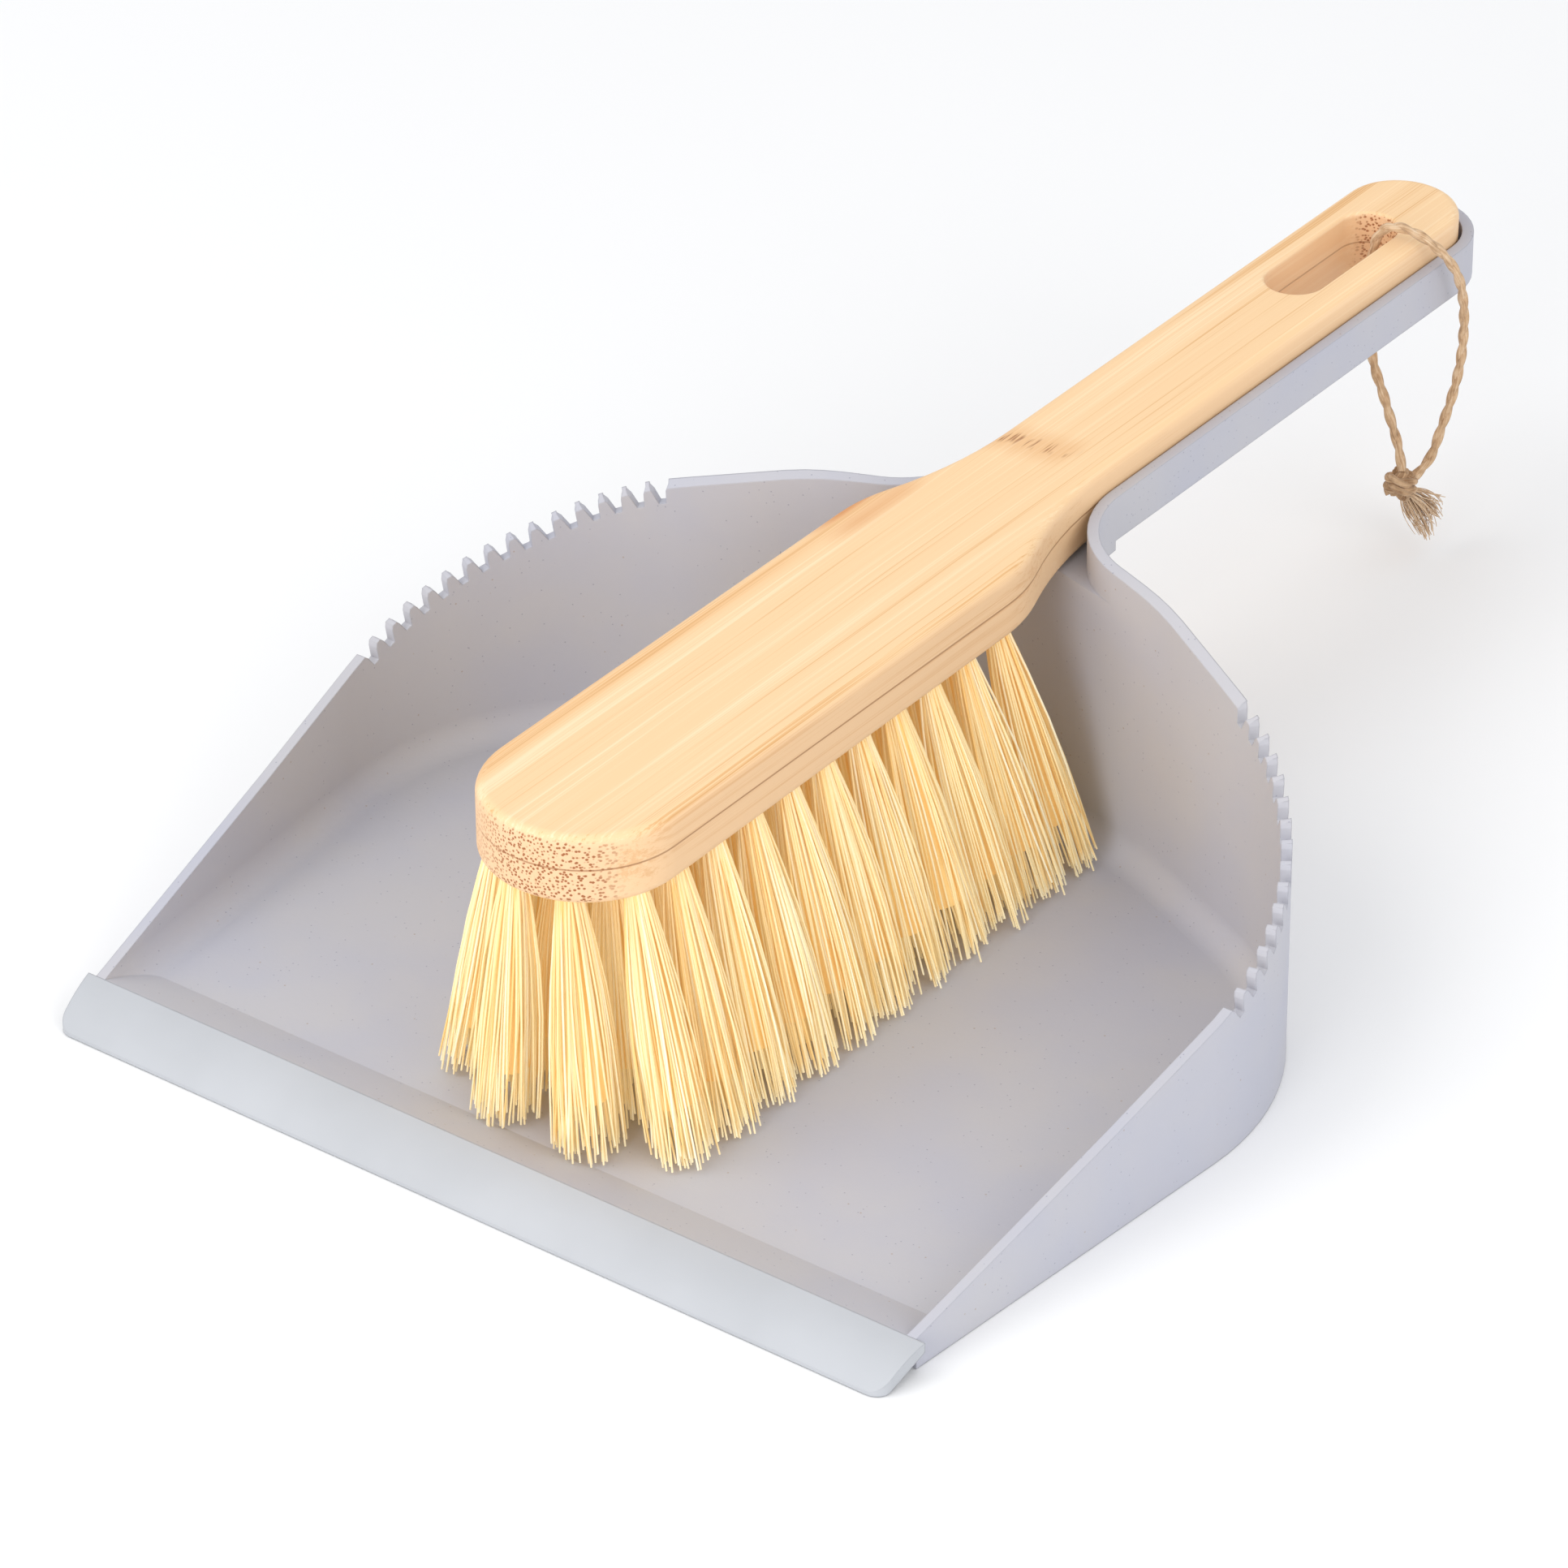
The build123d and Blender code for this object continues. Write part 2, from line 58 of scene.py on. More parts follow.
def linear(red, green, blue):
    """A display colour from 0 to 255 as the linear values that shaders take."""
    def curve(value):
        value /= 255
        return value / 12.92 if value <= 0.04045 else ((value + 0.055) / 1.055) ** 2.4
    return curve(red), curve(green), curve(blue)


# ---- node trees written as expressions ----------------------------------------------------------


def find_socket(sockets, key):
    if isinstance(key, int):
        return sockets[key]
    for socket in sockets:
        if socket.enabled and key in (socket.identifier, socket.name):
            return socket
    raise KeyError(f"no socket {key} on {sockets[0].node.name}")


class Field:
    """An output socket that can be used in sums."""

    def __init__(self, tree, socket):
        self.tree = tree
        self.socket = socket

    def math(self, operation, *values, **settings):
        return self.tree.node("ShaderNodeMath", *values, operation=operation, **settings)[0]

    def __add__(self, other):
        return self.math("ADD", self, other)

    def __radd__(self, other):
        return self.math("ADD", other, self)

    def __sub__(self, other):
        return self.math("SUBTRACT", self, other)

    def __rsub__(self, other):
        return self.math("SUBTRACT", other, self)

    def __mul__(self, other):
        return self.math("MULTIPLY", self, other)

    def __rmul__(self, other):
        return self.math("MULTIPLY", other, self)

    def __truediv__(self, other):
        return self.math("DIVIDE", self, other)

    def __pow__(self, other):
        return self.math("POWER", self, other)

    def sine(self):
        return self.math("SINE", self)

    def cosine(self):
        return self.math("COSINE", self)

    def absolute(self):
        return self.math("ABSOLUTE", self)

    def step(self, start, end):
        """0 below start, 1 above end, smooth between; start may be the larger one."""
        if start > end:
            return 1 - self.step(end, start)
        return self.tree.node(
            "ShaderNodeMapRange", self, start, end, 0, 1, interpolation_type="SMOOTHSTEP"
        )[0]


class Outputs:
    """A node's outputs, by number or name."""

    def __init__(self, tree, node):
        self.tree = tree
        self.sockets = node.outputs

    def __getitem__(self, key):
        if isinstance(key, int):
            return Field(self.tree, [s for s in self.sockets if s.enabled][key])
        return Field(self.tree, find_socket(self.sockets, key))


class Tree:
    """A shader or geometry node tree."""

    def __init__(self, node_tree):
        self.nodes = node_tree.nodes
        self.links = node_tree.links

    def node(self, kind, *values, named=None, **settings):
        """A node of that type: its settings first, then values or links for its sockets."""
        node = self.nodes.new(kind)
        for key, value in settings.items():
            if key == "stops":
                self.set_stops(node.color_ramp, value)
            else:
                setattr(node, key, value)
        shown = [socket for socket in node.inputs if socket.enabled]
        pairs = [(shown[index], value) for index, value in enumerate(values)]
        pairs += [(find_socket(node.inputs, key), value) for key, value in (named or {}).items()]
        for socket, value in pairs:
            self.feed(socket, value)
        return Outputs(self, node)

    def feed(self, socket, value):
        if value is None:
            return
        if isinstance(value, Outputs):
            value = value[0]
        if isinstance(value, Field):
            self.links.new(value.socket, socket)
        elif socket.type == "RGBA" and len(value) == 3:
            socket.default_value = (*value, 1)
        else:
            socket.default_value = value

    def set_stops(self, ramp, stops):
        while len(ramp.elements) > 1:
            ramp.elements.remove(ramp.elements[-1])
        for index, (place, colour) in enumerate(stops):
            element = ramp.elements[0] if index == 0 else ramp.elements.new(place)
            element.position = place
            element.color = (*colour[:3], 1)

    def mix(self, factor, first, second):
        return self.node("ShaderNodeMix", factor, first, second, data_type="RGBA")[0]

    def blend(self, factor, first, second):
        return self.node("ShaderNodeMix", factor, first, second, data_type="VECTOR")[0]

    def scaled(self, vector, factor):
        return self.node("ShaderNodeVectorMath", vector, operation="SCALE", named={"Scale": factor})[0]

    def vector(self, x, y, z):
        return self.node("ShaderNodeCombineXYZ", x, y, z)[0]

    def parts(self, vector):
        split = self.node("ShaderNodeSeparateXYZ", vector)
        return split["X"], split["Y"], split["Z"]

    def vector_math(self, operation, *values):
        return self.node("ShaderNodeVectorMath", *values, operation=operation)[0]


class Finish(Tree):
    """A material, with its Principled shader."""

    def __init__(self, name):
        self.material = bpy.data.materials.new(name)
        self.material.use_nodes = True
        super().__init__(self.material.node_tree)
        self.nodes.clear()

    def place(self):
        return self.node("ShaderNodeTexCoord")["Object"]

    def attribute(self, name):
        return self.node("ShaderNodeAttribute", attribute_name=name, attribute_type="GEOMETRY")["Fac"]

    def noise(self, vector, scale, detail=2.0, roughness=0.5):
        return self.node("ShaderNodeTexNoise", vector, scale, detail, roughness)["Fac"]

    def stretched(self, vector, scale):
        return self.node("ShaderNodeMapping", named={"Vector": vector, "Scale": scale})[0]

    def bump(self, height, distance, strength=1.0, normal=None):
        return self.node(
            "ShaderNodeBump",
            named={"Strength": strength, "Distance": distance, "Height": height, "Normal": normal},
        )[0]

    def rounded(self, radius):
        return self.node("ShaderNodeBevel", radius, samples=6)[0]

    def shade(self, **sockets):
        named = {}
        for key, value in sockets.items():
            named[key.replace("_", " ").title().replace("Ior", "IOR")] = value
        shader = self.node("ShaderNodeBsdfPrincipled", named=named)
        self.node("ShaderNodeOutputMaterial", shader[0])
        return self.material


class Shape(Tree):
    """A geometry node tree with named inputs."""

    def __init__(self, name, inputs):
        self.group = bpy.data.node_groups.new(name, "GeometryNodeTree")
        super().__init__(self.group)
        interface = self.group.interface
        interface.new_socket("Geometry", in_out="INPUT", socket_type="NodeSocketGeometry")
        for label, kind, value in inputs:
            socket = interface.new_socket(label, in_out="INPUT", socket_type=f"NodeSocket{kind}")
            if value is not None:
                socket.default_value = value
        interface.new_socket("Geometry", in_out="OUTPUT", socket_type="NodeSocketGeometry")
        self.given = self.node("NodeGroupInput")

    def named(self, name, kind="FLOAT"):
        return self.node("GeometryNodeInputNamedAttribute", name, data_type=kind)[0]

    def store(self, geometry, name, value, kind="FLOAT", domain="POINT"):
        return self.node(
            "GeometryNodeStoreNamedAttribute",
            named={"Geometry": geometry, "Name": name, "Value": value},
            data_type=kind,
            domain=domain,
        )[0]

    def chance(self, low, high, item, seed):
        return self.node("FunctionNodeRandomValue", low, high, item, seed)[0]

    def circle(self, sides, radius):
        return self.node("GeometryNodeCurvePrimitiveCircle", sides, radius, mode="RADIUS")[0]

    def tube(self, line, profile, scale):
        return self.node(
            "GeometryNodeCurveToMesh",
            named={"Curve": line, "Profile Curve": profile, "Fill Caps": True, "Scale": scale},
        )[0]

    def joined(self, pieces):
        """Pieces joined into one smooth geometry."""
        join = self.nodes.new("GeometryNodeJoinGeometry")
        for piece in pieces:
            self.links.new(piece.socket, join.inputs[0])
        return self.node("GeometryNodeSetShadeSmooth", named={"Geometry": Outputs(self, join)[0]})[0]

    def end(self, geometry, material):
        real = self.node("GeometryNodeRealizeInstances", named={"Geometry": geometry})[0]
        self.node(
            "NodeGroupOutput",
            self.node("GeometryNodeSetMaterial", named={"Geometry": real, "Material": material})[0],
        )

    def make(self, name, source, **values):
        """The mesh that the tree makes from a source mesh, as a new object."""
        carrier = bpy.data.objects.new(f"{name}_source", source)
        bpy.context.scene.collection.objects.link(carrier)
        modifier = carrier.modifiers.new(self.group.name, "NODES")
        modifier.node_group = self.group
        for item in self.group.interface.items_tree:
            key = item.name.lower().replace(" ", "_")
            if item.in_out == "INPUT" and key in values:
                modifier[item.identifier] = values[key]
        bpy.context.view_layer.update()
        graph = bpy.context.evaluated_depsgraph_get()
        mesh = bpy.data.meshes.new_from_object(carrier.evaluated_get(graph), depsgraph=graph)
        bpy.data.objects.remove(carrier)
        if not mesh.polygons:
            raise RuntimeError(f"{name} came out empty")
        mesh.name = name
        piece = bpy.data.objects.new(name, mesh)
        bpy.context.scene.collection.objects.link(piece)
        return piece


def cad_node(name):
    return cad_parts[name]


def paint(node, material):
    """A CAD node's object takes one finish all over."""
    mesh = cad_node(node).data
    mesh.materials.clear()
    mesh.materials.append(material)


def dots(name, points):
    """A mesh of loose points."""
    mesh = bpy.data.meshes.new(name)
    mesh.from_pydata([tuple(point) for point in points], [], [])
    return mesh


# ---- settings ------------------------------------------------------------------------------------


def colour(name, description, value):
    return FloatVectorProperty(
        name=name, description=description, subtype="COLOR", size=3, min=0, max=1, default=value
    )


def size(name, description, value):
    return FloatProperty(
        name=name,
        description=description,
        default=value,
        unit="LENGTH",
        subtype="DISTANCE",
        precision=5,
    )


def angle(name, description, value):
    return FloatProperty(name=name, description=description, subtype="ANGLE", default=radians(value))


def power(name, description, watts):
    return FloatProperty(name=name, description=description, unit="POWER", default=watts)


def number(name, description, value):
    return FloatProperty(name=name, description=description, default=value)


class StageSettings(PropertyGroup):
    azimuth: angle("Azimuth", "Camera's turn round the pan", 37.325)
    elevation: angle("Elevation", "Camera's height angle", 32.883)
    roll: angle("Roll", "Camera's tilt", -0.485)
    distance: size("Distance", "From the camera to the plane through the origin of the aim", 1.68344)
    aim_right: size("Aim Right", "Camera's offset to the right of the lip's middle", 0.06848)
    aim_up: size("Aim Up", "Camera's offset above the lip's middle, across the view", 0.08859)
    lens: number("Lens", "Focal length in millimetres", 185.93)
    floor: colour("Floor", "Colour of the floor", (0.9, 0.9, 0.9))
    key: power("Key", "Power of the main soft light", 4.5)
    fill: power("Fill", "Power of the side fill", 4.0)
    front: power("Front", "Power of the low front light", 7.0)
    sky: number("Surround", "Strength of the pale surround", 0.9)


class PanSettings(PropertyGroup):
    plastic: colour("Plastic", "Colour of the pan", linear(188, 187, 192))
    shade: colour("Cloud", "Slightly bluer tone in the moulding", linear(182, 183, 194))
    fleck: colour("Fleck", "Colour of the fine flecks", linear(118, 120, 142))
    brown_fleck: colour("Brown Fleck", "Colour of the rarer warm flecks", linear(158, 134, 112))
    lip: colour("Lip", "Colour of the soft lip", linear(183, 186, 191))
    edge: size("Edge", "Radius that moulded edges appear to have", 0.0005)


class BambooSettings(PropertyGroup):
    light: colour("Light", "Palest grain", linear(247, 218, 178))
    middle: colour("Middle", "Common grain", linear(240, 203, 156))
    dark: colour("Dark", "Darkest grain", linear(218, 166, 106))
    side: colour("Side", "Tone of the edges", linear(236, 196, 154))
    node_mark: colour("Node Mark", "Dashes at a joint of the cane", linear(150, 92, 46))
    grain: size("Grain", "Width of one streak of grain", 0.0007)


class BristleSettings(PropertyGroup):
    fibres: IntProperty(name="Fibres", description="Fibres in a tuft", default=112, min=8, max=200)
    thickness: size("Thickness", "Diameter of a fibre", 0.0006)
    root_radius: size("Root Radius", "Radius of a tuft at the wood", 0.0023)
    tip_radius: size("Tip Radius", "Radius of a tuft at its tips", 0.0072)
    uneven: size("Uneven", "How much fibres differ in length", 0.0045)
    stray: size("Stray", "How far fibre tips wander", 0.0016)
    # painted glow: emission in the fibres' own colour, standing in for light passed on between the thin
    # fibres
    painted_glow: number("Glow", "Light that the thin fibres pass on to each other", 0.1)
    pale: colour("Pale", "Colour of the palest fibres", linear(255, 246, 214))
    straw: colour("Straw", "Common colour of the fibres", linear(255, 234, 182))
    honey: colour("Honey", "Colour of the darkest fibres", linear(250, 212, 140))


class CordSettings(PropertyGroup):
    diameter: size("Diameter", "Diameter of the twisted cord", 0.0025)
    lay_length: size("Lay", "Length of one full turn of the two strands", 0.0105)
    light: colour("Light", "Palest jute", linear(226, 200, 168))
    dark: colour("Dark", "Darkest jute", linear(142, 108, 78))


# ---- finishes ------------------------------------------------------------------------------------


def flecks(finish, place, cell, density, radius):
    """Small round specks, 1 inside a speck."""
    cells = finish.node("ShaderNodeTexVoronoi", place, 1 / cell, named={"Randomness": 1.0})
    pick = finish.parts(cells["Color"])[0]
    grown = cells["Distance"] * cell
    return grown.step(radius, radius * 0.4) * pick.step(1 - density, 1 - density + 0.02)


def plastic_finish(settings):
    finish = Finish("flecked_plastic")
    place = finish.place()
    cloud = finish.noise(place, 22, 3)
    fine = finish.noise(place, 900, 2)
    base = finish.mix(cloud.step(0.35, 0.7), settings.plastic, settings.shade)
    cool = flecks(finish, place, 0.0016, 0.42, 0.00024)
    warm = flecks(finish, finish.vector_math("ADD", place, (0.31, 0.17, 0.09)), 0.0034, 0.3, 0.0003)
    base = finish.mix(cool * 0.55, base, settings.fleck)
    base = finish.mix(warm * 0.6, base, settings.brown_fleck)
    rough = 0.5 + 0.12 * cloud + 0.05 * fine
    normal = finish.bump(fine, 0.00006, 0.5, finish.rounded(settings.edge))
    return finish.shade(base_color=base, roughness=rough, normal=normal, specular_ior_level=0.4)


def lip_finish(settings):
    finish = Finish("soft_lip_rubber")
    place = finish.place()
    cloud = finish.noise(place, 30, 3)
    drag = finish.noise(finish.stretched(place, (12, 260, 260)), 1.0, 3)
    shade = tuple(0.93 * value for value in settings.lip)
    base = finish.mix(cloud.step(0.3, 0.75), settings.lip, shade)
    rough = 0.42 + 0.14 * cloud
    normal = finish.bump(drag, 0.0001, 0.35, finish.rounded(settings.edge))
    return finish.shade(base_color=base, roughness=rough, normal=normal, specular_ior_level=0.45)


def bamboo_finish(settings, seam_z):
    """Laminated bamboo: lengthwise grain, a row of joint marks, and dotted end grain in front."""
    finish = Finish("laminated_bamboo")
    place = finish.place()
    x, y, z = finish.parts(place)
    grain = settings.grain
    wander = finish.noise(finish.stretched(place, (30, 9, 30)), 1.0, 2) * 0.002
    across = finish.vector(x + wander, y, z)
    streak = finish.noise(finish.stretched(across, (1 / grain, 5, 0.55 / grain)), 1.0, 3, 0.6)
    thread = finish.noise(finish.stretched(across, (3.2 / grain, 16, 3.2 / grain)), 1.0, 2, 0.6)
    band = finish.noise(finish.stretched(across, (150, 2.5, 60)), 1.0, 2)
    tone = streak * 0.45 + thread * 0.25 + band * 0.5
    base = finish.node(
        "ShaderNodeValToRGB",
        tone,
        stops=[
            (0.44, settings.dark),
            (0.54, settings.middle),
            (0.62, settings.middle),
            (0.72, settings.light),
        ],
    )["Color"]
    # honey strip along the head's left edge, and a short one at the left shoulder
    strip = x.step(-0.0155, -0.0205) * y.step(-0.01, -0.06) * streak.step(0.35, 0.6)
    base = finish.mix(strip * 0.6, base, linear(222, 162, 92))
    reach = y.step(-0.036, -0.02) * y.step(0.006, -0.006)
    shoulder = x.step(-0.012, -0.0185) * reach * band.step(0.3, 0.55)
    base = finish.mix(shoulder * 0.8, base, linear(206, 128, 56))
    # joint of the cane across the grip
    joint_y = 0.0262 + (x + 0.0135) * 0.18
    ragged = (finish.noise(finish.stretched(place, (260, 0, 0)), 1.0, 1) - 0.5) * 0.006
    off = (y - joint_y - ragged).absolute()
    dashes = finish.noise(finish.stretched(place, (1500, 90, 300)), 1.0, 1).step(0.5, 0.62)
    marks = off.step(0.0032, 0.0008) * dashes * x.step(0.0065, 0.003)
    halo = off.step(0.009, 0.001) * x.step(0.0075, 0.002) * 0.35
    base = finish.mix(halo, base, linear(214, 150, 84))
    base = finish.mix(marks * 0.75, base, settings.node_mark)
    # edges, with end grain where the surface faces along the cane
    facing = finish.node("ShaderNodeNewGeometry")["True Normal"]
    nx, ny, nz = finish.parts(facing)
    edge = nz.absolute().step(0.75, 0.35)
    base = finish.mix(edge * 0.5, base, settings.side)
    ends = ny.absolute().step(0.45, 0.8) * edge
    pores = finish.node("ShaderNodeTexVoronoi", finish.stretched(place, (1, 0.1, 1)), 1350)["Distance"]
    dot = pores.step(0.5, 0.26)
    dense = x.step(-0.016, 0.0) * 0.75 + 0.25
    base = finish.mix(ends * 0.6, base, linear(232, 190, 150))
    base = finish.mix(ends * dot * dense, base, linear(160, 98, 56))
    # glue line between the boards
    glue = (z - seam_z).absolute().step(0.00035, 0.0001) * edge * (x.step(-0.02, 0.004) * 0.8 + 0.2)
    base = finish.mix(glue * 0.6, base, settings.node_mark)
    rough = 0.46 + 0.12 * thread + 0.1 * ends
    relief = streak * 0.5 + thread * 0.5 - 1.5 * ends * dot
    normal = finish.bump(relief, 0.00012, 0.45, finish.rounded(0.0003))
    return finish.shade(base_color=base, roughness=rough, normal=normal, specular_ior_level=0.4)


def bristle_finish(settings):
    finish = Finish("straw_bristle")
    place = finish.place()
    tint = finish.attribute("tint")
    along = finish.attribute("along")
    base = finish.node(
        "ShaderNodeValToRGB",
        tint,
        stops=[
            (0.0, settings.honey),
            (0.3, settings.straw),
            (0.75, settings.straw),
            (1.0, settings.pale),
        ],
    )["Color"]
    # painted shade: fibres darker and warmer towards the roots, deep in the tufts
    base = finish.mix(along.step(0.5, 0.0) * 0.25, base, linear(244, 186, 92))
    # painted highlight: fibres paler at the tips, where the light falls on them
    base = finish.mix(along.step(0.955, 0.995) * 0.5, base, linear(255, 246, 214))
    blotch = finish.noise(place, 260, 2)
    base = finish.mix(blotch.step(0.5, 0.75) * 0.18, base, settings.honey)
    normal = finish.bump(finish.noise(place, 2600, 2), 0.00005, 0.4)
    return finish.shade(
        base_color=base,
        roughness=0.42 + 0.15 * blotch,
        normal=normal,
        specular_ior_level=0.45,
        # painted glow: the fibres give off light in their own colour, standing in for light passed
        # between them
        emission_color=base,
        emission_strength=settings.painted_glow,
    )


def jute_finish(settings, name="jute", lift=0.0):
    finish = Finish(name)
    place = finish.place()
    tint = finish.attribute("tint")
    turn = finish.attribute("turn")
    along = finish.attribute("run")
    fibre = finish.noise(finish.vector(turn * 14 + along * 700, along * 60, tint * 9), 1.0, 3, 0.6)
    blotch = finish.noise(place, 420, 2)
    base = finish.node(
        "ShaderNodeValToRGB",
        fibre * 0.6 + blotch * 0.4 + lift,
        stops=[(0.3, settings.dark), (0.47, linear(196, 162, 126)), (0.66, settings.light)],
    )["Color"]
    normal = finish.bump(fibre, 0.0002, 0.8)
    return finish.shade(
        base_color=base, roughness=0.85, normal=normal, specular_ior_level=0.2, sheen_weight=0.15
    )


def wire_finish():
    finish = Finish("anchor_wire")
    place = finish.place()
    drawn = finish.noise(finish.stretched(place, (60, 2400, 2400)), 1.0, 2)
    base = finish.mix(drawn, (0.55, 0.55, 0.56), (0.7, 0.7, 0.71))
    return finish.shade(base_color=base, metallic=1.0, roughness=0.28 + 0.15 * drawn)


# ---- stage ---------------------------------------------------------------------------------------


def soft_light(name, place, target, width, power, tone):
    lamp = bpy.data.lights.new(name, "AREA")
    lamp.shape = "DISK"
    lamp.size = width
    lamp.energy = power
    lamp.color = tone
    shown = bpy.data.objects.new(name, lamp)
    shown.location = place
    shown.rotation_euler = (Vector(target) - Vector(place)).to_track_quat("-Z", "Y").to_euler()
    bpy.context.scene.collection.objects.link(shown)


class DUSTPAN_OT_stage(Operator):
    """Pale floor, soft lights and the camera"""

    bl_idname = "dustpan.stage"
    bl_label = "Stage"

    def execute(self, context):
        settings = context.scene.dustpan_stage
        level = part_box("dustpan")[0][2] - 0.0002
        mesh = bpy.data.meshes.new("floor")
        reach = 3.0
        corners = [(-reach, -reach), (reach, -reach), (reach, reach), (-reach, reach)]
        mesh.from_pydata([(x, y, level) for x, y in corners], [], [(0, 1, 2, 3)])
        floor = bpy.data.objects.new("floor", mesh)
        context.scene.collection.objects.link(floor)
        finish = Finish("pale_floor")
        shade = finish.noise(finish.place(), 3, 2)
        base = finish.mix(shade, settings.floor, tuple(0.97 * value for value in settings.floor))
        mesh.materials.append(finish.shade(base_color=base, roughness=0.85, specular_ior_level=0.1))

        world = bpy.data.worlds.new("pale_surround")
        world.use_nodes = True
        background = world.node_tree.nodes["Background"]
        background.inputs["Color"].default_value = (0.97, 0.98, 1.0, 1)
        background.inputs["Strength"].default_value = settings.sky
        context.scene.world = world
        context.scene.view_settings.view_transform = "Standard"
        soft_light("key", (-0.55, -0.75, 1.15), (0, 0, 0.03), 0.9, settings.key, (1.0, 0.985, 0.96))
        soft_light("fill", (1.2, -0.35, 0.7), (0, 0, 0.03), 0.9, settings.fill, (0.97, 0.98, 1.0))
        soft_light("front", (0.25, -1.5, 0.5), (0, 0.05, 0.04), 0.8, settings.front, (1.0, 0.99, 0.98))

        lip_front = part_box("soft_lip")[0][1]
        turn, rise, roll = settings.azimuth, settings.elevation, settings.roll
        right = Vector((cos(turn), sin(turn), 0))
        back = Vector((sin(turn) * cos(rise), -cos(turn) * cos(rise), sin(rise)))
        up = back.cross(right)
        right, up = cos(roll) * right + sin(roll) * up, cos(roll) * up - sin(roll) * right
        eye = Vector((0, lip_front, 0))
        eye += right * settings.aim_right + up * settings.aim_up + back * settings.distance
        lens = bpy.data.cameras.new("camera")
        lens.lens = settings.lens
        lens.sensor_width = 36
        lens.clip_end = 20
        camera = bpy.data.objects.new("camera", lens)
        camera.matrix_world = Matrix.Translation(eye) @ Matrix((right, up, back)).transposed().to_4x4()
        context.scene.collection.objects.link(camera)
        context.scene.camera = camera
        return {"FINISHED"}


# ---- cord ----------------------------------------------------------------------------------------

STRAND_SHARE = 0.34  # radius of a strand, as a share of the cord's diameter
KNOT_CORE_GIRTH = 2.1
OUTER_ROUTE = [
    (2.6, 151.4, 73.0),
    (2.6, 151.4, 79.4),
    (5.4, 151.8, 85.2),
    (11.6, 151.5, 87.0),
    (18.0, 153.0, 84.4),
    (22.0, 157.2, 77.2),
    (22.2, 160.5, 68.6),
    (21.9, 162.0, 59.0),
    (21.4, 161.8, 49.6),
    (20.5, 160.2, 41.0),
    (19.5, 157.6, 33.8),
    (19.4, 153.4, 26.2),
    (17.0, 149.8, 23.0),
]
INNER_ROUTE = [
    (2.6, 151.4, 73.0),
    (2.6, 151.4, 66.4),
    (3.4, 150.2, 58.4),
    (5.5, 148.9, 50.6),
    (9.2, 148.4, 43.4),
    (11.9, 148.3, 36.4),
    (14.3, 148.0, 31.0),
    (15.8, 147.2, 26.0),
]


def smooth_line(name, route):
    """Points along the NURBS curve whose control points are the route."""
    curve = bpy.data.curves.new(name, "CURVE")
    curve.dimensions = "3D"
    curve.resolution_u = 10
    spline = curve.splines.new("NURBS")
    spline.points.add(len(route) - 1)
    for point, place in zip(spline.points, route):
        point.co = (*[value * MM for value in place], 1)
    spline.use_endpoint_u = True
    spline.order_u = 3
    carrier = bpy.data.objects.new(name, curve)
    bpy.context.scene.collection.objects.link(carrier)
    bpy.context.view_layer.update()
    line = bpy.data.meshes.new_from_object(carrier)
    points = [vertex.co.copy() for vertex in line.vertices]
    bpy.data.objects.remove(carrier)
    return points


def line_mesh(name, lines, girths=None):
    """Open runs of points joined by edges, each run with its own girth beside the usual one."""
    points, edges, girth = [], [], []
    for line, thick in zip(lines, girths or [1.0] * len(lines)):
        start = len(points)
        points += [tuple(point) for point in line]
        girth += [thick] * len(line)
        edges += [(start + index, start + index + 1) for index in range(len(line) - 1)]
    mesh = bpy.data.meshes.new(name)
    mesh.from_pydata(points, edges, [])
    attribute = mesh.attributes.new("girth", "FLOAT", "POINT")
    for item, thick in zip(attribute.data, girth):
        item.value = thick
    return mesh


STRAND_SIDES = 10
CORE_SIDES = 14
CORE_LENGTH = 0.8  # share of a tuft's length that its core reaches
FIBRE_TAPER = 0.22
FLARE = 0.8  # how far fibres belly away from a tuft's middle, as a share of their bow
SHORT_BIAS = 2.2  # most fibres stay near full length


def strand_tree():
    """Two strands laid round each path of edges."""
    tree = Shape(
        "laid_strands",
        [
            ("Strand Radius", "Float", 0.0007),
            ("Offset", "Float", 0.00055),
            ("Lay", "Float", 0.0105),
            ("Step", "Float", 0.00045),
            ("Material", "Material", None),
        ],
    )
    given = tree.given
    line = tree.node("GeometryNodeMeshToCurve", named={"Mesh": given["Geometry"]})[0]
    fine = tree.node("GeometryNodeResampleCurve", line, named={"Length": given["Step"]}, mode="LENGTH")[0]
    travelled = tree.node("GeometryNodeSplineParameter")["Length"]
    normal = tree.node("GeometryNodeInputNormal")["Normal"]
    tangent = tree.node("GeometryNodeInputTangent")[0]
    cross = tree.vector_math("CROSS_PRODUCT", tangent, normal)
    strands = []
    for index in range(2):
        angle = travelled / given["Lay"] * tau + pi * index
        sideways = tree.scaled(normal, angle.cosine())
        upwards = tree.scaled(cross, angle.sine())
        way = tree.vector_math("ADD", sideways, upwards)
        offset = tree.scaled(way, given["Offset"] * tree.named("girth"))
        moved = tree.node("GeometryNodeSetPosition", named={"Geometry": fine, "Offset": offset})[0]
        moved = tree.store(moved, "run", travelled)
        moved = tree.store(moved, "tint", 0.2 + 0.5 * index)
        profile = tree.circle(STRAND_SIDES, given["Strand Radius"])
        profile = tree.store(profile, "turn", tree.node("GeometryNodeSplineParameter")["Factor"])
        strands.append(tree.tube(moved, profile, tree.named("girth")))
    tree.end(tree.joined(strands), given["Material"])
    return tree


